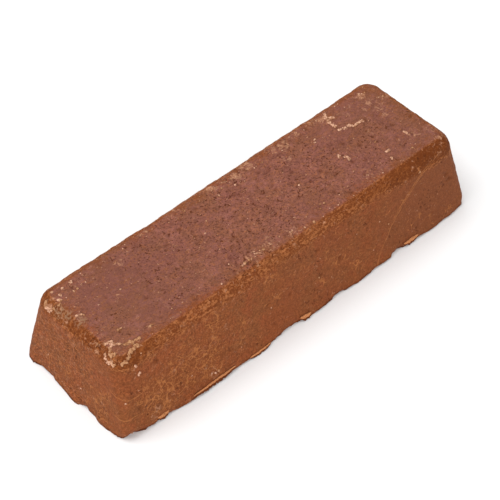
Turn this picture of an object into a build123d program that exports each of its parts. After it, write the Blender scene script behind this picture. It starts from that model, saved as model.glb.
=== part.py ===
"""A cast bar of brown polishing compound, lying on its wide pour face.

The compound is melted and poured into an open mould, so the bar is a long block with drafted sides: widest
at the pour face, which is the base here, and narrowest at the face that lay at the bottom of the mould, which
is on top. Cooling leaves the pour face slightly dished. The lower rim is chipped, thin flakes of mould flash
lift off it, and crumbs of compound cling to the waxy top. The bar, each flake and each group of crumbs is a
piece of its own.

Frame: origin at the centre of the base, +X along the bar, +Z up. Millimetres.
"""

from build123d import *
import math
import os

# The bar
base_length = 160.0
base_width = 53.4
bar_height = 33.0
top_length = 152.8
top_width = 42.6
base_corner_radius = 1.5
top_corner_radius = 6.5
top_edge_radius = 5.2

# The shrinkage hollow in the pour face, inside a flat rim
hollow_rim = 7.0
hollow_depth = 1.4
hollow_corner_radius = 9.0
hollow_wall_run = 2.0

# Chips out of the lower rim: place along the rim, width along the rim, depth into the bar
long_side_chips = [(-72.0, 9.0, 1.6), (-9.0, 13.0, 1.2), (15.5, 8.0, 0.9), (44.0, 7.0, 1.4)]
near_end_chips = [(-4.6, 5.0, 0.9), (16.5, 13.0, 0.9)]

# Flakes of mould flash on the long side. Each touches the side from foot to head, measured up the slope, and
# its lip stands off by reach, at each of its stations along the bar: (x, foot, head, reach)
flakes = {
    "rim_flake_far_curl": [
        (47.8, 1.2, 1.7, 0.10),
        (49.3, 0.4, 2.1, 0.55),
        (52.2, 0.3, 1.9, 0.45),
        (54.6, 0.5, 0.9, 0.10),
    ],
    "rim_flake_middle_tab": [
        (-2.6, 0.4, 1.0, 0.15),
        (-1.4, 0.2, 2.0, 0.60),
        (0.4, 0.2, 2.2, 0.50),
        (1.6, 0.3, 1.2, 0.15),
    ],
    "rim_flake_middle_sliver": [
        (-26.5, 0.3, 0.7, 0.10),
        (-24.0, 0.2, 1.3, 0.40),
        (-19.5, 0.3, 1.2, 0.35),
        (-17.0, 0.4, 0.7, 0.10),
    ],
    "rim_flake_long_strip": [
        (-51.6, 1.2, 1.7, 0.10),
        (-48.5, 0.9, 2.3, 0.55),
        (-42.0, 0.8, 2.1, 0.45),
        (-36.5, 0.6, 1.8, 0.50),
        (-32.8, 0.7, 1.1, 0.10),
    ],
    "rim_flake_near_curl": [
        (-66.0, 0.6, 1.2, 0.10),
        (-64.6, 0.3, 2.2, 0.60),
        (-62.8, 0.4, 1.9, 0.40),
        (-61.4, 0.7, 1.1, 0.10),
    ],
}

# Crumbs on top, as (x, y, radius) of each: z is that of the surface below it
crumb_sunk = 0.25
crumbs = {
    "far_top_crumbs": [
        (49.7, 1.9, 0.7),
        (39.4, -0.7, 0.7),
        (41.2, -3.7, 0.8),
        (64.4, -9.1, 0.6),
        (54.0, -11.0, 0.6),
        (52.5, -14.4, 0.6),
    ],
    "far_top_smear": [
        (48.3, 16.2, 0.9),
        (47.6, 13.4, 1.0),
        (47.9, 10.6, 0.8),
        (48.4, 8.2, 1.0),
        (51.0, 7.0, 0.8),
        (53.9, 6.2, 0.9),
        (56.8, 5.3, 0.7),
    ],
    "near_right_corner_scrapings": [
        (-73.4, -9.8, 1.0),
        (-70.9, -10.9, 0.8),
        (-73.3, -12.6, 1.1),
        (-73.1, -15.2, 1.0),
        (-70.4, -16.9, 1.1),
        (-68.0, -16.3, 0.9),
        (-65.7, -15.7, 1.1),
    ],
    "near_left_corner_crumbs": [
        (-72.3, 14.2, 0.9),
        (-70.4, 12.0, 0.7),
        (-69.4, 15.8, 0.6),
        (-66.5, 16.9, 0.6),
    ],
}


def rounded_outline(length, width, corner_radius, z):
    """A rounded rectangle at height z, centred on the bar."""
    return Plane.XY.offset(z) * RectangleRounded(length, width, corner_radius)


def shrinkage_hollow():
    """The shallow pan that cooling leaves in the base, with walls that run inwards as they rise."""
    outlines = []
    for inset, z in [(hollow_rim, 0), (hollow_rim + hollow_wall_run, hollow_depth)]:
        corner_radius = hollow_corner_radius + hollow_rim - inset
        outlines.append(rounded_outline(base_length - 2 * inset, base_width - 2 * inset, corner_radius, z))
    return loft(outlines, ruled=True)


def rim_chip(along, width, depth, half_size, on_end):
    """A ball that bites the lower rim to the given depth, over the given width."""
    radius = (width**2 / 4 + depth**2) / (2 * depth)
    away = half_size + radius - depth
    if on_end:
        return Pos(-away, along, 0) * Sphere(radius)
    return Pos(along, -away, 0) * Sphere(radius)


def cast_bar():
    """The drafted block with its rounded top, its dished base and its chipped rim."""
    outlines = [
        rounded_outline(base_length, base_width, base_corner_radius, 0),
        rounded_outline(top_length, top_width, top_corner_radius, bar_height),
    ]
    bar = loft(outlines, ruled=True)
    top_edges = bar.faces().sort_by(Axis.Z)[-1].edges()
    bar = fillet(top_edges, top_edge_radius)
    bar -= shrinkage_hollow()
    for along, width, depth in long_side_chips:
        bar -= rim_chip(along, width, depth, base_width / 2, on_end=False)
    for along, width, depth in near_end_chips:
        bar -= rim_chip(along, width, depth, base_length / 2, on_end=True)
    return bar


def flash_flake(stations):
    """A sliver of flash lofted through triangles that stand on the drafted long side."""
    draft = math.atan((base_width - top_width) / 2 / bar_height)
    up_slope = Vector(0, math.sin(draft), math.cos(draft))
    outward = Vector(0, -math.cos(draft), math.sin(draft))
    sections = []
    for x, foot, head, reach in stations:
        rim = Vector(x, -base_width / 2, 0)
        low = rim + up_slope * foot
        high = rim + up_slope * head
        sections.append(make_face(Polyline(low, high, low + outward * reach, close=True)))
    return loft(sections, ruled=True)


def surface_height(bar, x, y):
    """How high the bar's skin is above the point (x, y) of the base."""
    mast = Edge.make_line((x, y, bar_height / 2), (x, y, 2 * bar_height))
    return (mast & bar).bounding_box().max.Z


def crumb_group(bar, places):
    """Crumbs half sunk in the skin, each cut off flush where the bar begins."""
    group = []
    for x, y, radius in places:
        z = surface_height(bar, x, y) - crumb_sunk * radius
        group += (Pos(x, y, z) * Sphere(radius) - bar).solids()
    return Compound(group)


os.makedirs("parts", exist_ok=True)
bar = cast_bar()
export_step(bar, "parts/cast_bar.step")
for name, stations in flakes.items():
    export_step(flash_flake(stations), f"parts/{name}.step")
for name, places in crumbs.items():
    export_step(crumb_group(bar, places), f"parts/{name}.step")
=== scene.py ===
"""Looks for a cast bar of brown polishing compound.

The bar's CAD node is remeshed into fine, even quads and then worn: broad waves from the mould, a grainy skin,
rubbed edges, craters and a ragged rim. Flakes of flash and crumbs of compound are modelled one by one.
Shapes are worked out in millimetres, in the frame of the CAD model, and turned into metres at the end.
"""

import math
import random

import bmesh
import bpy
import numpy as np
from mathutils import Matrix, Vector, noise
from mathutils.bvhtree import BVHTree


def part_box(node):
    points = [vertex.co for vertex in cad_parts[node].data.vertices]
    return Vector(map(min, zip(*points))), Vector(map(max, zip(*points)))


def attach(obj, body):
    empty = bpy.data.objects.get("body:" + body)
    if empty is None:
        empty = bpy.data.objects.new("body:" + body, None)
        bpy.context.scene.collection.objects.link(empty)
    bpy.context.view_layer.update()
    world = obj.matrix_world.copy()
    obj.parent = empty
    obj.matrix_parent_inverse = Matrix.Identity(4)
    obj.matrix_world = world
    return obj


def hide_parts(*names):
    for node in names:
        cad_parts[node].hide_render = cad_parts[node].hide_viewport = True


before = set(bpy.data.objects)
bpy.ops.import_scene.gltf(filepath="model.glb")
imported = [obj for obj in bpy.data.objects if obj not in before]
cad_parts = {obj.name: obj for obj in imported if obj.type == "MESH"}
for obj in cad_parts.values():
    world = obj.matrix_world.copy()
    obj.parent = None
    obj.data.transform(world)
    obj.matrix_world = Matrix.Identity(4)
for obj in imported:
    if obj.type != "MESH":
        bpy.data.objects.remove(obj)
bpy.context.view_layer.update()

MM = 0.001
BODY = "root"

HALF_LENGTH, HALF_WIDTH, HEIGHT = (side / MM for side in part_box("cast_bar")[1])
# How far the long sides and the ends of the bar lean in over its height
SIDE_SLOPE = 5.4 / 33.0
END_SLOPE = 3.6 / 33.0

# Size of the quads that the bar and the crusts are remeshed into
SKIN_CELL = 0.57
CRUST_CELL = 0.10

# The crusts' lumps: steps along the line, spread about it, and how flat each lies
LUMP_STEP = 0.36
LUMP_SPREAD = 0.17
LUMP_FLATNESS = 0.42
SPECK_FLATNESS = 0.6

# The flakes: thickness, length of a quad along one, rows of quads from root to hem, and the length
# below which one is pale nearly to its hem
# A flake's pale lip is partly its torn edge and partly a painted highlight; below the lip the flake is
# painted shade
FLAKE_THICKNESS = 0.26
FLAKE_CELL = 0.22
FLAKE_ROWS = 10
SHORT_FLAKE = 8.0

# How many marks and crumbs are left to chance
TOP_CRATERS = 90
SIDE_CRATERS = 34
BASE_BUBBLES = 150
TOP_EDGE_SPECKS = 70
TOP_SPECKS = 26
SIDE_SPECKS = 14

# How far the lower rim stands out from the CAD bar's rim, as (place along the rim, offset)
LONG_RIM = [
    (-80, -2.9), (-76, -3.0), (-74, -1.1), (-71, 0.3), (-68, -0.2), (-66, -1.0), (-63, -0.9),
    (-60, -0.4), (-57, 0.1), (-54, 0.7), (-50, 0.7), (-46, 0.7), (-42, 0.4), (-37, 0.7), (-30, 0.6),
    (-24, 0.7), (-19.5, 0.7), (-17, 0.5), (-15.5, 0.1), (-11, 0.7), (-8, 0.4), (-5, 0.0), (-3, 0.0),
    (0, 0.4), (3, 0.95), (7, 1.0), (12, 0.45), (16, 0.55), (20, 0.6), (24, 1.1), (29, 0.95),
    (33.5, 0.4), (37, 0.9), (40, 0.8), (43, 0.9), (46, 0.15), (49, 0.1), (52, 0.0), (56, 0.5),
    (62, 0.95), (67, 0.5), (71, 0.7), (75, 0.2), (80, -0.3),
]
NEAR_RIM = [
    (-26, -0.6), (-21, 0.0), (-16.5, 0.5), (-12.5, 0.5), (-9, -0.1), (-6, 0.1), (-3, 0.7), (-1, 1.2),
    (2, 1.0), (6, 0.5), (9, 0.2), (12, 0.0), (16, 0.6), (19, 0.4), (21, 1.0), (23, 0.6), (26, 0.4),
]

# Places on the skin that are rubbed, tinted, crazed, pitted, grainy or smooth: (x, y, z, radius, strength)
SCUFF_PLACES = [
    (-76.5, 14.6, 31.5, 3.2, 1.0), (-72.5, 14.5, 32.5, 3.0, 0.55), (-66, 14.5, 33, 3.0, 0.45),
    (-72, 4, 33, 3.0, 0.5), (-76.5, 6.5, 31, 2.5, 0.6), (-76, -3, 31.5, 3.0, 0.55),
    (-75.5, -9, 31.5, 3.5, 0.6), (-74, -16, 31.5, 4.5, 0.45), (-67, -18.5, 31.5, 4.0, 0.5),
    (-58, -15.5, 33, 3.0, 0.5), (-32.4, 16.8, 32, 3.5, 0.5), (-20, 17, 32, 5.0, 0.35),
    (-4, 17, 32, 4.5, 0.8), (3, 17.5, 32, 4.0, 0.5), (7, 16.3, 32, 4.0, 0.8), (13, 17.8, 32, 4.0, 0.85),
    (25, 17, 32, 4.0, 0.7), (29, 15.8, 33, 3.5, 0.75), (24.6, 9.9, 33, 4.0, 0.75),
    (36, 17.5, 32, 4.0, 0.5), (44, 17.5, 32, 4.0, 0.7), (48.5, 15.5, 33, 4.0, 0.8),
    (-6, -15.6, 33, 5.0, 0.55), (-14, -15.6, 33, 5.0, 0.55), (3, -16.3, 33, 4.0, 0.5),
    (66, -10.5, 33, 4.0, 0.55), (70, -19, 31.5, 4.0, 0.4), (60, -18.0, 32.6, 2.5, 0.25),
    (73, -13, 32.5, 4.0, 0.6), (72, -18, 32, 3.0, 0.5), (66, 10, 33, 5.0, 0.45), (64, 16, 33, 5.0, 0.4),
    (66.6, 15.4, 33, 2.4, 0.9), (65.7, 10.6, 33, 2.2, 0.9), (66.4, 6.4, 33, 2.4, 0.9),
    (66.0, 2.8, 33, 2.0, 0.7), (61.8, 9.6, 33, 2.0, 0.8), (72, 9, 32, 4.0, 0.6),
    (55, 12, 33, 3.5, 0.35), (-55.5, 3, 33, 3.0, 0.4), (-48, 13, 33, 4.0, 0.4), (-30, 8, 33, 4.0, 0.4),
    (42, -16, 32, 6.0, 0.35), (-44.5, -25.2, 9, 3.0, 0.35), (-59, -25.6, 6, 3.5, 0.45),
    (-41, -26, 4.5, 4.0, 0.5), (-67, -25.8, 5, 3.5, 0.4), (-78.9, -4.5, 9, 3.0, 0.35),
    (-78.7, -13, 12, 4.0, 0.4), (79, -8, 6, 6.0, 0.4), (77, 14, 26, 5.0, 0.5), (-30, 25, 8, 6.0, 0.4),
    (22, 24, 20, 6.0, 0.4), (60, 26, 4, 6.0, 0.4),
]
GREEN_PLACES = [(-75, 10.5, 32, 3.4, 1.0), (-74.2, 6.5, 32.6, 2.8, 0.9), (-72.8, 1.6, 33, 3.0, 0.9)]
CRAZE_PLACES = [
    (-62, -25, 10, 14, 1.0), (-50, -24, 14, 15, 1.0), (-42, -25, 10, 11, 0.9), (-68, -24, 16, 9, 0.7),
    (-38, -23, 22, 9, 0.7), (-78, -12, 10, 10, 0.5), (-78, 6, 10, 9, 0.6), (-60, 24, 12, 16, 0.8),
    (10, 24, 14, 16, 0.8), (52, 24, 10, 14, 0.7), (78, 4, 12, 12, 0.6), (20, -25, 12, 12, 0.3),
    (-12, -24, 22, 9, 0.4),
]
PITTED_PLACES = [(-26, 2, 33, 28, 0.7), (0, 0, 33, 28, 1.0), (26, 0, 33, 24, 1.0), (48, -8, 33, 16, 0.5)]
GRAINY_PLACES = [(-79, 7, 14, 28, 1.0), (-50, -25, 12, 34, 0.5), (79, 0, 14, 28, 0.5), (0, 24, 14, 60, 0.4)]
SMOOTH_PLACES = [
    (-50, 2, 33, 24, 0.8), (64, -24, 14, 30, 1.0), (48, -24, 12, 18, 0.6), (10, -24, 14, 26, 0.3),
]

# Long pale creases, each the line where a sphere meets the skin: centre and radius of the sphere, then the
# middle of the part that shows and how far it reaches from there
CREASES = [
    ((95.1, -24.0, -36.5), 71.7, (50.0, -24.0, 14.0), 29.0),
    ((97.0, -24.0, -39.0), 75.6, (56.0, -23.5, 20.0), 15.0),
    ((-72.0, -22.0, 27.0), 10.3, (-75.0, -23.5, 17.0), 8.0),
    ((-76.0, -22.0, -6.0), 16.0, (-77.5, -24.0, 10.0), 5.0),
    ((-60.0, -25.0, 8.0), 15.9, (-44.2, -25.4, 8.0), 4.5),
    ((-79.0, 8.5, 7.5), 3.6, (-79.0, 6.0, 10.0), 4.0),
    ((-79.5, 40.0, 6.5), 26.4, (-79.5, 13.6, 6.5), 5.5),
    ((-20.0, 60.0, 40.0), 47.0, (-38.0, 23.0, 18.0), 16.0),
    ((30.0, 56.0, -30.0), 52.0, (32.0, 24.5, 11.0), 18.0),
]

# Crusts scraped up on the skin, one for each CAD crumb node: the lines that their crumbs are strung along
CRUST_LINES = {
    "far_top_smear": [
        [(50.5, 17.5, 33), (49.4, 15.5, 33), (48.8, 12.8, 33), (48.8, 9.8, 33)],
        [(51.5, 14.2, 33), (50.4, 15.0, 33)],
        [(48.4, 8.0, 33), (50.0, 7.5, 33), (51.4, 7.0, 33)],
        [(52.6, 7.3, 33), (54.2, 5.7, 33), (56.0, 6.0, 33), (58.0, 6.0, 33)],
    ],
    "near_right_corner_scrapings": [
        [(-73.2, -10.4, 33), (-73.0, -11.4, 33), (-71.5, -11.4, 33), (-70.5, -12.0, 33)],
        [(-71.8, -11.6, 33), (-71.1, -13.4, 33), (-69.6, -14.0, 33)],
        [
            (-71.6, -12.8, 33), (-73.2, -13.4, 33), (-74.3, -14.8, 32.5), (-74.6, -16.0, 32),
            (-73.2, -16.6, 33),
        ],
        [
            (-75.0, -13.4, 31.5), (-75.7, -14.2, 31), (-76.0, -15.6, 30.5), (-75.6, -17.0, 31),
            (-75.5, -18.6, 30.4),
        ],
        [(-64.0, -17.0, 33), (-65.2, -16.5, 33), (-67.0, -15.9, 33), (-69.0, -15.5, 33)],
        [(-66.8, -16.2, 33), (-66.4, -17.3, 33)],
        [(-65.6, -18.4, 33), (-67.0, -18.4, 33), (-69.0, -18.6, 32.5), (-70.8, -19.2, 32.4)],
        [(-70.5, -19.4, 32), (-71.2, -20.4, 32), (-72.6, -20.1, 31.5), (-74.2, -20.2, 31)],
    ],
    "near_left_corner_crumbs": [
        [(-75.0, 16.6, 32), (-76.0, 16.0, 30.6), (-76.1, 14.4, 31), (-76.0, 13.0, 31), (-75.1, 12.4, 32)],
        [(-76.5, 14.0, 30.4), (-76.5, 13.2, 30.2)],
        [(-72.6, 13.5, 33), (-71.6, 12.6, 33)],
        [(-73.5, 12.0, 32.5), (-72.5, 11.2, 33)],
        [(-70.6, 14.9, 33), (-71.0, 14.0, 33)],
    ],
    "far_top_crumbs": [
        [(49.5, 1.6, 33), (49.8, 1.3, 33)],
        [(39.4, -0.8, 33), (39.0, -2.4, 33)],
        [(41.0, -3.0, 33), (41.2, -4.8, 33)],
        [(64.6, -8.2, 33), (65.0, -9.6, 33)],
        [(54.6, -10.9, 33), (52.7, -11.4, 33)],
        [(52.2, -14.2, 33), (51.8, -14.9, 33)],
    ],
}

# Single crumbs: (x, y, z, size)
SPECKS = [
    (-65.0, 16.6, 33, 0.60), (-64.4, 17.0, 33, 0.45), (-68.5, 16.5, 33, 0.55), (-72.0, 17.4, 32, 0.55),
    (-65.0, 13.0, 33, 0.55), (-66.5, 13.0, 33, 0.45), (-63.0, 13.5, 33, 0.35), (-61.3, 13.4, 33, 0.30),
    (-70.0, 12.5, 33, 0.30), (-72.5, 4.0, 33, 0.55), (-71.0, 3.5, 33, 0.50), (-70.5, 2.7, 33, 0.40),
    (-74.5, -9.0, 32, 0.45), (-66.5, -9.5, 33, 0.55), (-65.5, -9.6, 33, 0.50), (-70.0, -22.0, 29, 0.65),
    (-69.6, -22.6, 25, 0.55), (-69.1, -22.5, 25.6, 0.50), (-66.5, -20.5, 31, 0.35),
    (-58.0, -15.3, 33, 0.45), (-57.0, -15.3, 33, 0.40), (11.5, -18.0, 32.6, 0.55),
    (7.5, -17.8, 33, 0.40), (3.2, -16.2, 33, 0.55), (2.4, -16.0, 33, 0.40), (-6.0, -15.5, 33, 0.50),
    (-9.4, -15.9, 33, 0.60), (-9.0, -15.2, 33, 0.35), (-12.5, -15.5, 33, 0.50),
    (-16.0, -16.0, 33, 0.45), (-18.0, -16.1, 33, 0.70), (-19.2, -16.4, 33, 0.50),
    (-29.5, -17.4, 32.6, 0.50), (-22.0, -12.5, 33, 0.35), (-14.5, 7.0, 33, 0.30),
    (-18.5, 3.0, 33, 0.35), (53.5, -5.0, 33, 0.40), (58.4, -22.1, 27.6, 0.45),
    (41.8, -24.3, 14.7, 0.30), (-77.2, -25.0, 16.7, 0.40), (-76.5, -26.0, 3.2, 0.40),
    (-41.0, -26.0, 4.6, 0.55), (-39.6, -26.0, 4.6, 0.45), (-42.4, -25.8, 5.2, 0.40),
    (-44.3, -25.2, 9.0, 0.35), (66.4, 16.4, 33, 0.40), (70.6, 10.2, 33, 0.50), (72.0, 9.8, 32.6, 0.50),
    (61.5, 14.5, 33, 0.30), (39.0, 10.4, 33, 0.45), (38.0, 9.2, 33, 0.45), (-0.5, 15.0, 33, 0.40),
    (4.0, 13.0, 33, 0.45), (7.5, 12.0, 33, 0.40), (-3.5, 13.0, 33, 0.40), (19.6, -2.2, 33, 0.45),
    (18.6, -13.6, 33, 0.40), (20.0, -14.2, 33, 0.40), (17.2, -15.2, 33, 0.45),
    (-14.0, -24.0, 14.5, 0.30), (8.0, -24.5, 13.0, 0.35), (-55.0, 3.2, 33, 0.35),
    (-79.0, 14.0, 10.3, 0.35), (-79.2, -3.0, 8.0, 0.30),
]


# ---------------------------------------------------------------- numbers and noise


def smooth_step(low, high, value):
    """0 below low, 1 above high and a smooth rise between; high may be the smaller of the two."""
    t = np.clip((value - low) / (high - low), 0.0, 1.0)
    return t * t * (3.0 - 2.0 * t)


def wave(points, size, octaves=3, offset=(0.0, 0.0, 0.0)):
    """Fractal noise of about -1 to 1, with features of the given size in millimetres."""
    shift = Vector(offset)
    return np.array([noise.fractal(Vector(p) / size + shift, 1.0, 2.0, octaves) for p in points])


def line_wave(along, size, octaves, seed):
    """Fractal noise along a line."""
    return np.array([noise.fractal(Vector((a / size, seed, 0.0)), 1.0, 2.0, octaves) for a in along])


def patch_weights(points, patches):
    """How far each point is inside any of the patches."""
    weights = np.zeros(len(points))
    for x, y, z, radius, strength in patches:
        distance = np.linalg.norm(points - np.array([x, y, z]), axis=1)
        weights = np.maximum(weights, strength * smooth_step(radius, 0.35 * radius, distance))
    return weights


# ---------------------------------------------------------------- meshes


def add_object(name, data):
    piece = bpy.data.objects.new(name, data)
    bpy.context.scene.collection.objects.link(piece)
    return piece


def even_quads(mesh, cell):
    """The same shape as a skin of quads about cell millimetres wide. It uses the mesh up."""
    welded = bmesh.new()
    welded.from_mesh(mesh)
    bmesh.ops.remove_doubles(welded, verts=welded.verts, dist=1e-6)
    welded.to_mesh(mesh)
    welded.free()
    holder = add_object("holder", mesh)
    modifier = holder.modifiers.new("even_quads", "REMESH")
    modifier.mode = "VOXEL"
    modifier.voxel_size = cell * MM
    evaluated = holder.evaluated_get(bpy.context.evaluated_depsgraph_get())
    result = bpy.data.meshes.new_from_object(evaluated)
    bpy.data.objects.remove(holder)
    bpy.data.meshes.remove(mesh)
    return result


def mesh_points(mesh):
    flat = np.empty(len(mesh.vertices) * 3)
    mesh.vertices.foreach_get("co", flat)
    return flat.reshape(-1, 3) / MM


def mesh_normals(mesh):
    flat = np.empty(len(mesh.vertices) * 3)
    mesh.vertex_normals.foreach_get("vector", flat)
    return flat.reshape(-1, 3)


def set_points(mesh, points):
    mesh.vertices.foreach_set("co", (points * MM).ravel())
    mesh.update()


def set_attribute(mesh, name, values):
    layer = mesh.attributes.new(name, "FLOAT", "POINT")
    layer.data.foreach_set("value", np.asarray(values, np.float32))


# ---------------------------------------------------------------- the bar


def charted_rim(outline, along, seed):
    """The rim's offset at each place along it, from its outline, with ragged teeth added."""
    places, offsets = zip(*outline)
    return np.interp(along, places, offsets) + 0.22 * line_wave(along, 2.4, 3, seed)


def chance_rim(along, seed):
    """An outline for a rim left by chance: slow swells broken by bites."""
    swell = 0.5 + 0.5 * line_wave(along, 14.0, 2, seed)
    bite = smooth_step(0.2, 0.6, line_wave(along, 7.0, 1, seed + 9.0))
    teeth = 0.3 * line_wave(along, 2.4, 3, seed + 5.0)
    return swell - 1.5 * bite + teeth


def ragged_rim(points):
    """Moves the bar's lower edge in and out all the way round, and lifts it here and there."""
    x, y, z = points.T
    sides = [
        (1, -1, HALF_WIDTH - SIDE_SLOPE * z + y, charted_rim(LONG_RIM, x, 1.0)),
        (1, 1, HALF_WIDTH - SIDE_SLOPE * z - y, chance_rim(x, 2.0)),
        (0, -1, HALF_LENGTH - END_SLOPE * z + x, charted_rim(NEAR_RIM, y, 3.0)),
        (0, 1, HALF_LENGTH - END_SLOPE * z - x, chance_rim(y, 4.0) - 1.3 * smooth_step(-21.0, -26.0, y)),
    ]
    moved = points.copy()
    low = smooth_step(5.0, 0.0, z)
    for axis, outward, inside, offset in sides:
        moved[:, axis] += outward * offset * low * smooth_step(6.0, 0.5, inside)
    from_edge = np.minimum.reduce([inside for _, _, inside, _ in sides])
    lift = np.clip(0.3 + 0.5 * wave(points, 4.5, 2, (7, 0, 0)), 0.0, 1.0)
    moved[:, 2] += lift * smooth_step(1.1, 0.0, z) * smooth_step(3.0, 0.2, from_edge)
    return moved


def craters(points, count, seed, pick):
    """How deep each point sinks into count small craters. pick(chance) gives the centre and radius of one."""
    chance = random.Random(seed)
    depth = np.zeros(len(points))
    for _ in range(count):
        centre, radius = pick(chance)
        near = np.flatnonzero(np.abs(points[:, 0] - centre[0]) < radius)
        distance = np.linalg.norm(points[near] - centre, axis=1)
        depth[near] = np.maximum(depth[near], 0.4 * radius * smooth_step(radius, 0.2 * radius, distance))
    return depth


def top_crater(chance):
    """Most craters on the top are in its middle stretch."""
    return np.array([chance.gauss(5, 36), chance.uniform(-17, 17), HEIGHT]), chance.uniform(0.8, 1.3)


def side_crater(chance):
    z = chance.uniform(2, 28)
    y = chance.choice((-1, 1)) * (HALF_WIDTH - SIDE_SLOPE * z)
    return np.array([chance.uniform(-76, 76), y, z]), chance.uniform(0.8, 1.3)


def base_bubble(chance):
    """Burst bubbles in the pour face."""
    return np.array([chance.uniform(-70, 70), chance.uniform(-18, 18), 1.4]), chance.triangular(0.9, 4.2, 1.2)


def crease_ridges(points):
    """How far the skin stands up along its creases."""
    ridge = np.zeros(len(points))
    for centre, radius, middle, reach in CREASES:
        off_line = np.abs(np.linalg.norm(points - np.array(centre), axis=1) - radius)
        along = np.linalg.norm(points - np.array(middle), axis=1)
        ridge = np.maximum(ridge, smooth_step(0.8, 0.0, off_line) * smooth_step(reach, 0.7 * reach, along))
    return ridge


def rusty_edge_weights(points, normals, top_edge):
    """The rusty edges of the top, rustiest in a band on the long side with the flakes."""
    x, _, height = points.T
    _, aside, up = normals.T
    band_foot = 26.0 - 2.5 * smooth_step(35.0, 60.0, x)
    band = smooth_step(0.0, 5.0, height - band_foot) * smooth_step(0.985, 0.93, up)
    band *= smooth_step(-0.1, -0.3, aside)
    rustiest = 0.7 * smooth_step(10.0, 40.0, x) + 0.6 * smooth_step(44.0, 62.0, x)
    rustiest += 0.95 * smooth_step(-54.0, -66.0, x)
    elsewhere = 0.50 + 0.45 * smooth_step(-66.0, -74.0, x)
    return np.maximum(band * (0.72 + 0.30 * rustiest), elsewhere * top_edge)


def margin_weights(points):
    """A strip just inside the top's edges."""
    height = points[:, 2]
    inset = np.minimum(
        HALF_WIDTH - SIDE_SLOPE * height - np.abs(points[:, 1]),
        HALF_LENGTH - END_SLOPE * height - np.abs(points[:, 0]),
    )
    return smooth_step(10.0, 2.0, inset) * smooth_step(24.0, 30.0, height)


def bar_skin():
    """The bar itself: the CAD block remeshed finely, then given its mould waves, grain, wear and rim."""
    mesh = even_quads(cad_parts["cast_bar"].data.copy(), SKIN_CELL)
    points = mesh_points(mesh)
    normals = mesh_normals(mesh)
    ahead, aside, up = normals.T

    on_top = smooth_step(0.82, 0.985, up)
    underside = smooth_step(-0.3, -0.8, up)
    top_edge = smooth_step(0.20, 0.40, up) * (1.0 - smooth_step(0.92, 0.99, up))
    corner = smooth_step(0.30, 0.50, np.abs(ahead)) * smooth_step(0.30, 0.50, np.abs(aside))
    edge = np.maximum(top_edge, corner)
    sink = craters(points, TOP_CRATERS, 11, top_crater) + craters(points, SIDE_CRATERS, 12, side_crater)
    sink += underside * craters(points, BASE_BUBBLES, 13, base_bubble)

    set_attribute(mesh, "on_top", on_top)
    set_attribute(mesh, "rusty_edge", rusty_edge_weights(points, normals, top_edge))
    set_attribute(mesh, "margin", margin_weights(points))
    # The bottom two millimetres of the sides, where painted shade darkens the rim as it turns under
    set_attribute(mesh, "lower_rim", smooth_step(2.2, 0.2, points[:, 2]) * (1.0 - underside))
    set_attribute(mesh, "underside", underside)
    set_attribute(mesh, "scuffed", patch_weights(points, SCUFF_PLACES))
    set_attribute(mesh, "green", patch_weights(points, GREEN_PLACES))
    set_attribute(mesh, "crazed", patch_weights(points, CRAZE_PLACES) * (1.0 - underside))
    set_attribute(mesh, "pitted", patch_weights(points, PITTED_PLACES))
    set_attribute(mesh, "grainy", patch_weights(points, GRAINY_PLACES) * (1.0 - on_top))
    set_attribute(mesh, "smooth", patch_weights(points, SMOOTH_PLACES))
    # Crater depth, used only to paint shade into the craters
    set_attribute(mesh, "sunk_shade", np.clip(sink / 0.6, 0.0, 1.0))

    push = 0.24 * wave(points, 26.0, 2)
    push += 0.10 * wave(points, 6.5, 3, (4, 1, 0))
    push += 0.05 * wave(points, 1.7, 3, (0, 6, 2))
    push += edge * (0.20 * wave(points, 3.2, 3, (2, 2, 8)) - 0.06)
    push += underside * 0.25 * wave(points, 9.0, 4, (5, 5, 1))
    push += 0.07 * (1.0 - underside) * crease_ridges(points)
    push -= sink
    worn = ragged_rim(points + normals * push[:, None])
    worn[:, 2] = np.maximum(worn[:, 2], 0.0)
    set_points(mesh, worn)
    mesh.shade_smooth()
    return add_object("bar_skin", mesh)


class Surface:
    """The finished skin of the bar, to set small pieces down on."""

    def __init__(self, piece):
        self.tree = BVHTree.FromObject(piece, bpy.context.evaluated_depsgraph_get())

    def nearest(self, point):
        """The skin's nearest point and its normal there."""
        place, normal, _, _ = self.tree.find_nearest(Vector(point) * MM)
        return np.array(place) / MM, np.array(normal)

    def front(self, x, z):
        """Where the long side with the flakes is, seen square on at (x, z)."""
        place, _, _, _ = self.tree.ray_cast(Vector((x, -2 * HALF_WIDTH, z)) * MM, Vector((0, 1, 0)))
        return place.y / MM


# ---------------------------------------------------------------- crumbs, crusts and flakes


def add_lump(lumps, surface, place, size, flat, seed):
    """Adds one knobbly crumb to the bmesh lumps, sitting on the skin near the place."""
    chance = random.Random(seed)
    centre, normal = surface.nearest(place)
    turn = Vector((0, 0, 1)).rotation_difference(Vector(normal)).to_matrix()
    spin = Matrix.Rotation(chance.uniform(0, math.tau), 3, "Z")
    stretch = Matrix.Diagonal((chance.uniform(0.8, 1.35), chance.uniform(0.65, 1.0), flat))
    middle = Vector(centre + normal * size * flat * 0.4)
    made = bmesh.ops.create_icosphere(lumps, subdivisions=2, radius=1.0)
    for vertex in made["verts"]:
        knob = 1.0 + 0.35 * noise.noise(vertex.co * 1.3 + Vector((seed, 0, 0)))
        knob += 0.20 * noise.noise(vertex.co * 3.1 + Vector((0, seed, 0)))
        vertex.co = (middle + turn @ spin @ stretch @ (vertex.co * knob * size)) * MM


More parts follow.
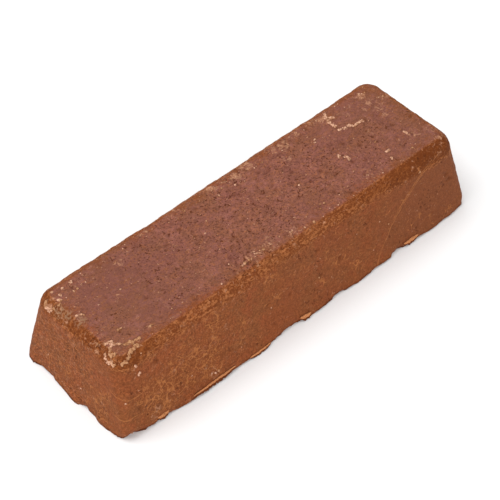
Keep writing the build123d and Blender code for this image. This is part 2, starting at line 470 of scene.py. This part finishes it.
def crust_piece(node, surface, lines, seed):
    """Crumbs strung along lines, uneven in size and a little off the line, fused into one crust."""
    chance = random.Random(seed)
    lumps = bmesh.new()
    number = 0
    for line in lines:
        for start, end in zip(line, line[1:]):
            start, end = np.array(start, float), np.array(end, float)
            steps = max(1, round(np.linalg.norm(end - start) / LUMP_STEP))
            for step in range(steps):
                off_line = np.array([chance.gauss(0.0, LUMP_SPREAD) for _ in range(3)])
                place = start + (end - start) * step / steps + off_line
                size = chance.triangular(0.26, 0.80, 0.48)
                add_lump(lumps, surface, place, size, LUMP_FLATNESS, seed + number)
                number += 1
    mesh = bpy.data.meshes.new(node)
    lumps.to_mesh(mesh)
    lumps.free()
    mesh = even_quads(mesh, CRUST_CELL)
    set_attribute(mesh, "pinkish", smooth_step(-60.0, 30.0, mesh_points(mesh)[:, 0]))
    mesh.shade_smooth()
    return add_object(node + "_crust", mesh)


def scattered_specks(chance):
    """Chance crumbs along the top's long edges, over its middle and on the long sides: (x, y, z, size)."""
    specks = []
    for _ in range(TOP_EDGE_SPECKS):
        side = chance.choice((-1, 1, 1))
        x = chance.uniform(-70, 72)
        y = side * chance.gauss(16.5, 1.6)
        specks.append((x, y, HEIGHT, chance.uniform(0.16, 0.34)))
    for _ in range(TOP_SPECKS):
        x = chance.uniform(-70, 72)
        y = chance.uniform(-14, 14)
        specks.append((x, y, HEIGHT, chance.uniform(0.12, 0.22)))
    for _ in range(SIDE_SPECKS):
        z = chance.uniform(3, 28)
        side = chance.choice((-1, 1))
        x = chance.uniform(-74, 74)
        y = side * (HALF_WIDTH - SIDE_SLOPE * z)
        specks.append((x, y, z, chance.uniform(0.14, 0.30)))
    return specks


def speck_piece(surface):
    """Single crumbs on the skin: the placed ones and the scattered ones."""
    lumps = bmesh.new()
    for number, (x, y, z, size) in enumerate(SPECKS + scattered_specks(random.Random(21))):
        add_lump(lumps, surface, (x, y, z), size, SPECK_FLATNESS, 3.7 * number)
    mesh = bpy.data.meshes.new("loose_specks")
    lumps.to_mesh(mesh)
    lumps.free()
    set_attribute(mesh, "pinkish", np.full(len(mesh.vertices), 0.35))
    mesh.shade_smooth()
    return add_object("loose_specks", mesh)


def wall_behind(surface, xs, z):
    """Where the skin is at each place along a flake, smoothed, at the height z."""
    wall = np.array([surface.front(x, z) for x in xs])
    return np.convolve(np.pad(wall, 4, mode="edge"), np.ones(9) / 9.0, mode="valid")


def flake_section(x, wall, root, out, drop):
    """Points across a flake in metres, from its root in the skin, over its lip and down to its hem."""
    section = []
    for row in range(FLAKE_ROWS + 1):
        v = row / FLAKE_ROWS
        away = out * math.sin(math.pi * min(v * 1.9, 1.0) / 2) * (1.0 - 0.45 * v) - 0.12
        down = drop * max(v - 0.28, 0.0) / 0.72
        y = wall - away - SIDE_SLOPE * down
        z = root - down - 0.3 * v
        section.append((x * MM, y * MM, max(z, 0.08) * MM))
    return section


def flake_piece(node, surface, seed):
    """A ragged lip of flash in the place of its CAD sliver: it leaves the side, turns over and hangs down."""
    (low_x, low_y, low_z), (high_x, _, high_z) = (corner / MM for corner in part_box(node))
    reach = -low_y - HALF_WIDTH + 0.10
    columns = max(24, round((high_x - low_x) / FLAKE_CELL))
    xs = np.linspace(low_x, high_x, columns + 1)
    wall = wall_behind(surface, xs, max(0.5 * (low_z + high_z), 0.9))
    torn = line_wave(xs, 1.2, 3, seed)
    sheet = bmesh.new()
    grid = []
    for i, x in enumerate(xs):
        swell = math.sin(math.pi * i / columns) ** 0.6
        out = reach * swell * (1.0 + 0.5 * torn[i])
        drop = (high_z - low_z) * swell * (0.8 + 0.35 * torn[(i + 9) % columns])
        root = high_z + 0.1 * torn[(i + 5) % columns]
        grid.append([sheet.verts.new(point) for point in flake_section(x, wall[i], root, out, drop)])
    for near, far in zip(grid, grid[1:]):
        for j in range(FLAKE_ROWS):
            sheet.faces.new((near[j], near[j + 1], far[j + 1], far[j]))
    mesh = bpy.data.meshes.new(node + "_sheet")
    sheet.to_mesh(mesh)
    sheet.free()
    # How far down the painted highlight of the lip reaches before the painted shade below it
    pale_to = 0.74 if high_x - low_x < SHORT_FLAKE else 0.50
    lip = smooth_step(pale_to, 0.5 * pale_to, np.linspace(0.0, 1.0, FLAKE_ROWS + 1))
    set_attribute(mesh, "lip", np.tile(lip, columns + 1))
    mesh.shade_smooth()
    piece = add_object(node + "_sheet", mesh)
    thickness = piece.modifiers.new("thickness", "SOLIDIFY")
    thickness.thickness = FLAKE_THICKNESS * MM
    thickness.offset = 1.0
    return piece


# ---------------------------------------------------------------- materials


class Shader:
    """One procedural material, called s below. Each method adds nodes and gives their result's socket."""

    def __init__(self, name):
        self.material = bpy.data.materials.new(name)
        self.material.use_nodes = True
        self.tree = self.material.node_tree
        self.surface = self.tree.nodes["Principled BSDF"]
        coordinates = self.tree.nodes.new("ShaderNodeTexCoord")
        self.place = self.vector_math("SCALE", coordinates.outputs["Object"], scale=1.0 / MM)

    def put(self, socket, value):
        if isinstance(value, bpy.types.NodeSocket):
            self.tree.links.new(value, socket)
        else:
            socket.default_value = value

    def vector_math(self, operation, first, second=None, scale=None):
        node = self.tree.nodes.new("ShaderNodeVectorMath")
        node.operation = operation
        self.put(node.inputs[0], first)
        if second is not None:
            self.put(node.inputs[1], second)
        if scale is not None:
            node.inputs["Scale"].default_value = scale
        return node.outputs["Value" if operation == "DISTANCE" else "Vector"]

    def math(self, operation, first, second=0.0):
        node = self.tree.nodes.new("ShaderNodeMath")
        node.operation = operation
        self.put(node.inputs[0], first)
        self.put(node.inputs[1], second)
        return node.outputs[0]

    def chain(self, operation, values):
        total = values[0]
        for value in values[1:]:
            total = self.math(operation, total, value)
        return total

    def add(self, *values):
        return self.chain("ADD", values)

    def times(self, *values):
        return self.chain("MULTIPLY", values)

    def most(self, *values):
        return self.chain("MAXIMUM", values)

    def centred(self, noise):
        return self.math("SUBTRACT", noise, 0.5)

    def attribute(self, name):
        node = self.tree.nodes.new("ShaderNodeAttribute")
        node.attribute_name = name
        return node.outputs["Fac"]

    def noise(self, size, detail=3.0, rough=0.5, warp=0.0, place=None):
        """Noise with features of the given size in millimetres, mostly between 0.3 and 0.7."""
        node = self.tree.nodes.new("ShaderNodeTexNoise")
        self.put(node.inputs["Vector"], place or self.place)
        node.inputs["Scale"].default_value = 1.0 / size
        node.inputs["Detail"].default_value = detail
        node.inputs["Roughness"].default_value = rough
        node.inputs["Distortion"].default_value = warp
        return node.outputs["Fac"]

    def shifted(self, amount, size):
        """The place, pushed about by noise of the given size by up to about amount millimetres."""
        node = self.tree.nodes.new("ShaderNodeTexNoise")
        self.put(node.inputs["Vector"], self.place)
        node.inputs["Scale"].default_value = 1.0 / size
        node.inputs["Detail"].default_value = 2.0
        centred = self.vector_math("SUBTRACT", node.outputs["Color"], (0.5, 0.5, 0.5))
        return self.vector_math("ADD", self.place, self.vector_math("SCALE", centred, scale=2.0 * amount))

    def cells(self, size, feature, place=None):
        """Distance from the cell's point (F1) or from its edge, in cells about size millimetres wide."""
        node = self.tree.nodes.new("ShaderNodeTexVoronoi")
        node.feature = feature
        self.put(node.inputs["Vector"], place or self.place)
        node.inputs["Scale"].default_value = 1.0 / size
        return node.outputs["Distance"]

    def rise(self, value, low, high, bottom=0.0, top=1.0):
        """A smooth step of value from low to high, which may run downwards."""
        node = self.tree.nodes.new("ShaderNodeMapRange")
        node.interpolation_type = "SMOOTHSTEP"
        self.put(node.inputs["Value"], value)
        node.inputs["From Min"].default_value = low
        node.inputs["From Max"].default_value = high
        node.inputs["To Min"].default_value = bottom
        node.inputs["To Max"].default_value = top
        return node.outputs["Result"]

    def threads(self, size, width, place=None):
        """Thin wandering lines: where noise of the given size crosses its middle value."""
        from_middle = self.math("ABSOLUTE", self.centred(self.noise(size, 1.5, 0.5, 0.0, place)))
        return self.rise(from_middle, width, 0.25 * width)

    def crease(self, centre, radius, middle, reach, place):
        """The line where a sphere meets the skin, near its middle."""
        from_centre = self.vector_math("DISTANCE", place, centre)
        off_line = self.math("ABSOLUTE", self.math("SUBTRACT", from_centre, radius))
        near = self.rise(self.vector_math("DISTANCE", place, middle), reach, 0.7 * reach)
        return self.times(self.rise(off_line, 0.27, 0.05), near)

    def blend(self, factor, first, second):
        node = self.tree.nodes.new("ShaderNodeMix")
        node.data_type = "RGBA"
        self.put(node.inputs["Factor"], factor)
        self.put(node.inputs["A"], (*first, 1.0) if isinstance(first, tuple) else first)
        self.put(node.inputs["B"], (*second, 1.0) if isinstance(second, tuple) else second)
        return node.outputs["Result"]

    def brightened(self, color, strength):
        """The colour times a strength of about 1."""
        return self.vector_math("MULTIPLY", color, self.spread(strength))

    def spread(self, value):
        """One value as all three parts of a vector."""
        node = self.tree.nodes.new("ShaderNodeCombineXYZ")
        for socket in node.inputs:
            self.put(socket, value)
        return node.outputs["Vector"]

    def bump(self, height, depth):
        """Tilts the surface's normal by a height of 0 to 1 over depth millimetres."""
        node = self.tree.nodes.new("ShaderNodeBump")
        self.put(node.inputs["Height"], height)
        node.inputs["Distance"].default_value = depth * MM
        self.put(self.surface.inputs["Normal"], node.outputs["Normal"])


# Colours of the skin: sides, top and underside; the top's colours carry a painted sheen of the overhead light
SIDE_BROWN = (0.198, 0.055, 0.0185)
SIDE_OLIVE = (0.190, 0.060, 0.0205)
SIDE_RED = (0.195, 0.053, 0.0185)
SIDE_SMOOTH = (0.180, 0.057, 0.0235)
END_PINK = (0.245, 0.100, 0.052)
TOP_MAUVE_SHEEN = (0.179, 0.065, 0.047)
TOP_OLIVE_SHEEN = (0.178, 0.067, 0.040)
TOP_PINK_SHEEN = (0.194, 0.073, 0.054)
TOP_FRECKLE = (0.202, 0.070, 0.029)
BASE_BROWN = (0.150, 0.048, 0.020)

# Colours of the grain, the rust, the crazing and the marks on the skin, and of the shade painted into pits,
# craters and along the lower rim
GRAIN_DARK = (0.135, 0.034, 0.012)
RUST_DARK = (0.126, 0.030, 0.006)
RUST_LIGHT = (0.215, 0.060, 0.014)
RUST_PALE = (0.368, 0.132, 0.046)
CRAZE_GROUND = (0.190, 0.056, 0.0165)
CRAZE_TAN = (0.405, 0.147, 0.047)
GREY_GREEN = (0.270, 0.160, 0.092)
PIT_PAINTED_SHADE = (0.098, 0.023, 0.007)
RIM_PAINTED_SHADE = (0.105, 0.026, 0.007)
PALE_TAN = (0.520, 0.255, 0.145)

# Colours of the flakes and the crumbs, with painted highlight and shade on the flakes and painted shade in
# the crumbs' hollows
FLASH_SHADED_BODY = (0.130, 0.032, 0.008)
FLASH_TORN_LIP_HIGHLIGHT = (0.520, 0.210, 0.085)
CRUMB_YELLOWISH = (0.450, 0.230, 0.115)
CRUMB_PINKISH = (0.630, 0.355, 0.235)
CRUMB_HOLLOW_SHADE = (0.220, 0.078, 0.030)

# The compound is waxy but matt
SPECULAR = 0.05


class Grains:
    """The noises that the layers of the skin share, called g below, from coarse to fine."""

    def __init__(self, s):
        self.cloud = s.noise(5.0, 4.0, 0.6, 0.6)
        self.grain = s.noise(1.3, 4.0, 0.65)
        self.speckle = s.noise(0.62, 3.0, 0.65)
        self.fine = s.noise(0.34, 2.0, 0.6)
        drawn_out = s.vector_math("MULTIPLY", s.shifted(0.6, 2.0), (0.38, 1.0, 1.0))
        self.streak = s.noise(0.9, 3.0, 0.65, 0.6, drawn_out)


def side_color(s, g, broad):
    """Orange-brown, smoother and greyer in places, with pink blotches where it is grainy."""
    color = s.blend(s.rise(broad, 0.40, 0.62), SIDE_BROWN, SIDE_OLIVE)
    color = s.blend(s.rise(g.cloud, 0.48, 0.66), color, SIDE_RED)
    color = s.blend(s.times(s.attribute("smooth"), 0.8), color, SIDE_SMOOTH)
    blotch = s.rise(s.noise(1.9, 3.0, 0.7, 0.5), 0.48, 0.64)
    return s.blend(s.times(blotch, s.attribute("grainy"), 0.5), color, END_PINK)


def top_color_with_sheen(s, g, broad):
    """Mauve, partly the skin's own tone and partly a painted sheen of the overhead light, with orange
    freckles.
    """
    color = s.blend(s.rise(broad, 0.38, 0.64), TOP_MAUVE_SHEEN, TOP_OLIVE_SHEEN)
    color = s.blend(s.rise(g.cloud, 0.50, 0.68), color, TOP_PINK_SHEEN)
    freckle = s.rise(s.add(s.times(g.streak, 0.5), s.times(g.speckle, 0.5)), 0.50, 0.60)
    return s.blend(s.times(freckle, 0.75), color, TOP_FRECKLE)


def plain_skin(s, g):
    """The skin before its grain and marks, with a mottled border between the top and the sides; the top's
    colour holds a painted sheen of the overhead light.
    """
    broad = s.noise(16.0, 4.0, 0.6, 0.4)
    mottle = s.add(s.centred(g.cloud), s.times(s.centred(g.streak), 1.5))
    border = s.add(s.attribute("on_top"), s.times(s.attribute("margin"), -0.45), mottle)
    # The top's painted sheen fades into the sides' tone across the border, sooner in the margin just inside
    # the top's edges
    color = s.blend(s.rise(border, 0.26, 0.80), side_color(s, g, broad), top_color_with_sheen(s, g, broad))
    return s.blend(s.attribute("underside"), color, BASE_BROWN)


def grained(s, g, color):
    """Lighter and darker grain: strongest where the skin is pitted or grainy, weakest where it is smooth."""
    spread = s.add(
        s.rise(g.grain, 0.28, 0.72, -0.14, 0.20),
        s.rise(g.speckle, 0.28, 0.72, -0.10, 0.25),
        s.rise(g.fine, 0.25, 0.75, -0.09, 0.17),
        s.rise(g.cloud, 0.30, 0.70, -0.06, 0.06),
    )
    grainy = s.attribute("grainy")
    strength = s.add(
        1.0,
        s.times(s.attribute("pitted"), 0.35),
        s.times(s.attribute("smooth"), -0.45),
        s.times(grainy, 0.75),
    )
    color = s.brightened(color, s.add(0.96, s.times(grainy, -0.11), s.times(spread, strength)))
    dark_grain = s.rise(s.add(s.times(g.speckle, 0.6), s.times(g.fine, 0.4)), 0.46, 0.36)
    return s.blend(s.times(dark_grain, strength, 0.58), color, GRAIN_DARK)


def rusted(s, g, color):
    """Gritty rust along the top's edges, darkest where it is thickest."""
    rusty_edge = s.attribute("rusty_edge")
    ragged = s.add(s.times(s.centred(g.cloud), 0.9), s.times(s.centred(g.streak), 0.9))
    rusty = s.rise(s.add(rusty_edge, ragged), 0.20, 0.95)
    paler = s.blend(s.rise(rusty_edge, 0.65, 1.05), RUST_PALE, RUST_LIGHT)
    darker = s.rise(rusty_edge, 0.98, 1.10, 0.0, -0.05)
    gritty = s.add(s.times(g.streak, 0.5), s.times(g.speckle, 0.3), s.times(g.fine, 0.2), darker)
    rust = s.blend(s.rise(gritty, 0.46, 0.58), RUST_DARK, paler)
    return s.blend(s.times(rusty, 0.9), color, rust)


def crease_lines(s):
    """The long creases, worn away here and there."""
    wobble = s.shifted(0.5, 3.0)
    creases = s.most(*[s.crease(*crease, wobble) for crease in CREASES])
    return s.times(creases, s.rise(s.noise(1.6, 3.0, 0.6), 0.32, 0.56, 0.15, 0.8))


def pale_lines(s, on_side):
    """A patchy web of fine cracks and loops, strongest on the crazed sides, with the long creases."""
    web = s.rise(s.cells(4.4, "DISTANCE_TO_EDGE", s.shifted(2.0, 3.0)), 0.052, 0.012)
    loops = s.threads(3.4, 0.014, s.shifted(0.8, 1.6))
    patchy = s.rise(s.add(s.noise(6.0, 3.0, 0.6, 0.5), s.times(s.attribute("crazed"), 0.20)), 0.56, 0.70)
    lines = s.times(s.most(web, s.times(loops, 0.8)), patchy, s.rise(on_side, 0.0, 1.0, 0.2, 0.9))
    return s.most(lines, crease_lines(s))


def crazed_over(s, g, color, lines, on_side):
    """Tan lines and dust on a browner ground."""
    crazed = s.attribute("crazed")
    ground = s.times(crazed, s.rise(g.cloud, 0.35, 0.60), on_side, 0.7)
    color = s.blend(ground, color, CRAZE_GROUND)
    dusty = s.most(crazed, s.times(s.attribute("grainy"), 0.6))
    dust = s.times(s.rise(g.speckle, 0.55, 0.66), s.rise(dusty, 0.0, 1.0, 0.15, 0.7), on_side)
    return s.blend(s.most(s.times(lines, 0.85), dust), color, CRAZE_TAN)


def greened(s, g, color):
    """A grey-green stain in speckles."""
    stain = s.rise(s.add(s.times(g.grain, 0.5), s.times(g.speckle, 0.5)), 0.45, 0.57)
    return s.blend(s.times(s.attribute("green"), stain, 0.75), color, GREY_GREEN)


def pits(s):
    """The pinholes' mask, used for painted shade in them and for their dip in the bump; thickest in the
    pitted places.
    """
    area = s.rise(s.add(s.noise(9.0, 2.0, 0.5), s.times(s.attribute("pitted"), 0.20)), 0.50, 0.68)
    pit = s.rise(s.noise(0.95, 1.0, 0.5, 0.8), 0.355, 0.310)
    return s.times(pit, s.rise(area, 0.0, 1.0, 0.12, 1.0))


def pale_marks(s, g, on_side):
    """Scuffs in the rubbed places and loose pale dots all over."""
    rubbed = s.add(s.times(s.attribute("scuffed"), 0.20), s.times(s.attribute("margin"), 0.03))
    scuff = s.rise(s.add(s.noise(1.9, 4.0, 0.7, 1.0), rubbed), 0.61, 0.75)
    dots = s.rise(s.noise(0.8, 1.0, 0.5, 0.0, s.shifted(0.2, 0.5)), 0.715, 0.765)
    dots = s.times(dots, s.rise(on_side, 0.0, 1.0, 1.0, 0.3))
    return s.most(s.times(scuff, s.rise(g.speckle, 0.35, 0.60, 0.35, 1.0)), dots)


def skin_material():
    """The moulded skin: plain colours with a painted sheen on the top, then grain, rust, crazing, stain,
    painted shade in the pits, a dark rim of painted shade, and scuffs.
    """
    s = Shader("moulded_skin")
    g = Grains(s)
    on_side = s.rise(s.most(s.attribute("on_top"), s.attribute("underside")), 0.9, 0.3)
    lines = pale_lines(s, on_side)
    pit = pits(s)
    pale = pale_marks(s, g, on_side)

    color = rusted(s, g, grained(s, g, plain_skin(s, g)))
    color = crazed_over(s, g, color, lines, on_side)
    color = greened(s, g, color)
    # Painted shade in the pinholes and the craters
    color = s.blend(s.most(s.times(pit, 0.85), s.times(s.attribute("sunk_shade"), 0.5)), color, PIT_PAINTED_SHADE)
    # Painted shade: a dark line along the lower rim, where the edge turns under away from the light
    painted_rim_shade = s.times(s.rise(s.attribute("lower_rim"), 0.15, 0.75), s.rise(g.cloud, 0.35, 0.60))
    color = s.blend(painted_rim_shade, color, RIM_PAINTED_SHADE)
    color = s.blend(s.times(pale, 0.8), color, PALE_TAN)

    s.put(s.surface.inputs["Base Color"], color)
    s.put(s.surface.inputs["Roughness"], s.add(0.58, s.times(g.grain, 0.14), s.times(pale, 0.15)))
    s.surface.inputs["Specular IOR Level"].default_value = SPECULAR
    raised = s.add(s.times(g.grain, 0.5), s.times(g.speckle, 0.45), s.times(lines, 0.20), s.times(pale, 0.30))
    s.bump(s.math("SUBTRACT", raised, s.times(pit, 0.9)), 0.30)
    return s.material


def flash_material():
    """Thin broken flash: pale orange along its torn lip, partly a painted highlight, and dark brown painted
    shade where it hangs down.
    """
    s = Shader("lifted_flash")
    grain = s.noise(0.8, 4.0, 0.65, 0.5)
    lip = s.rise(s.add(s.attribute("lip"), s.times(s.centred(grain), 1.4)), 0.35, 0.75)
    # Painted highlight along the lip, painted shade on the body hanging down
    color = s.blend(lip, FLASH_SHADED_BODY, FLASH_TORN_LIP_HIGHLIGHT)
    color = s.brightened(color, s.rise(s.noise(0.4, 3.0, 0.6), 0.3, 0.7, 0.65, 1.25))
    s.put(s.surface.inputs["Base Color"], color)
    s.put(s.surface.inputs["Roughness"], s.rise(grain, 0.2, 0.8, 0.6, 0.85))
    s.surface.inputs["Specular IOR Level"].default_value = SPECULAR
    s.bump(grain, 0.15)
    return s.material


def crumb_material():
    """Scraped-up compound: powdery, from pinkish to yellowish tan, with painted shade in its hollows."""
    s = Shader("pale_crumbs")
    cast = s.add(s.noise(5.0, 1.0, 0.5), s.times(s.attribute("pinkish"), 0.24))
    grain = s.noise(0.8, 4.0, 0.65)
    fine = s.noise(0.3, 3.0, 0.6)
    color = s.blend(s.rise(cast, 0.47, 0.63), CRUMB_YELLOWISH, CRUMB_PINKISH)
    # Painted shade where the grain is low, in the hollows of the bump
    color = s.blend(s.rise(grain, 0.56, 0.42, 0.0, 0.8), color, CRUMB_HOLLOW_SHADE)
    color = s.brightened(color, s.rise(fine, 0.3, 0.7, 0.8, 1.2))
    s.put(s.surface.inputs["Base Color"], color)
    s.put(s.surface.inputs["Roughness"], s.rise(grain, 0.2, 0.8, 0.75, 0.95))
    s.surface.inputs["Specular IOR Level"].default_value = SPECULAR
    s.bump(s.add(s.times(grain, 0.7), s.times(fine, 0.3)), 0.2)
    return s.material


# ---------------------------------------------------------------- the pieces, put together


def finish_piece(piece, material, slot, *nodes):
    """Gives a piece its material, ties it to the body and hides the CAD nodes it stands for. The slot is not
    used.
    """
    piece.data.materials.clear()
    piece.data.materials.append(material)
    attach(piece, BODY)
    if nodes:
        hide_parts(*nodes)


bar = bar_skin()
finish_piece(bar, skin_material(), "moulded_skin", "cast_bar")
skin = Surface(bar)

flash = flash_material()
for number, node in enumerate(sorted(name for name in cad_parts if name.startswith("rim_flake"))):
    finish_piece(flake_piece(node, skin, 1.7 * number), flash, "lifted_flash", node)

crumbly = crumb_material()
for number, (node, lines) in enumerate(CRUST_LINES.items()):
    finish_piece(crust_piece(node, skin, lines, 1000 * number), crumbly, "pale_crumbs", node)
finish_piece(speck_piece(skin), crumbly, "pale_crumbs")


# ---------------------------------------------------------------- floor, light and camera

# The camera: what it looks at and how far off it is, in metres, its angles, and its lens in millimetres
VIEW_TARGET = Vector((-0.00273, -0.00146, 0.01657))
VIEW_TURN = math.radians(41.26)
VIEW_ELEVATION = math.radians(47.53)
VIEW_DISTANCE = 0.6258
VIEW_ROLL = math.radians(-1.48)
LENS = 131.5

# Softboxes: place and size in metres, and power in watts
SOFTBOXES = {
    "key": ((-0.5, 0.3, 1.2), (1.0, 1.0), 10.0),
    "fill": ((-0.7, -1.1, 0.6), (1.0, 0.8), 5.5),
}
SKY_STRENGTH = 0.83
FLOOR_HALF_WIDTH = 4.0


def add_camera():
    flat = math.cos(VIEW_ELEVATION)
    towards = Vector((-math.sin(VIEW_TURN) * flat, -math.cos(VIEW_TURN) * flat, math.sin(VIEW_ELEVATION)))
    data = bpy.data.cameras.new("camera")
    data.lens = LENS
    data.sensor_width = 36.0
    camera = add_object("camera", data)
    camera.location = VIEW_TARGET + towards * VIEW_DISTANCE
    level = towards.to_track_quat("Z", "Y").to_matrix()
    camera.rotation_euler = (level @ Matrix.Rotation(VIEW_ROLL, 3, "Z")).to_euler()
    bpy.context.scene.camera = camera


def add_softbox(name, place, size, watts):
    data = bpy.data.lights.new(name, "AREA")
    data.shape = "RECTANGLE"
    data.size, data.size_y = size
    data.energy = watts
    lamp = add_object(name, data)
    lamp.location = place
    lamp.rotation_euler = (-Vector(place)).to_track_quat("-Z", "Y").to_euler()


def add_floor():
    mesh = bpy.data.meshes.new("floor")
    half = FLOOR_HALF_WIDTH
    corners = [(-half, -half, 0), (half, -half, 0), (half, half, 0), (-half, half, 0)]
    mesh.from_pydata(corners, [], [(0, 1, 2, 3)])
    floor = add_object("floor", mesh)
    material = bpy.data.materials.new("pale_floor")
    material.use_nodes = True
    surface = material.node_tree.nodes["Principled BSDF"]
    surface.inputs["Base Color"].default_value = (0.90, 0.90, 0.90, 1.0)
    surface.inputs["Roughness"].default_value = 0.9
    mesh.materials.append(material)


def add_world():
    world = bpy.data.worlds.new("studio")
    world.use_nodes = True
    background = world.node_tree.nodes["Background"]
    background.inputs["Color"].default_value = (1.0, 1.0, 1.0, 1.0)
    background.inputs["Strength"].default_value = SKY_STRENGTH
    bpy.context.scene.world = world


add_camera()
add_world()
add_floor()
for name, (place, size, watts) in SOFTBOXES.items():
    add_softbox(name, place, size, watts)
bpy.context.scene.view_settings.view_transform = "Standard"
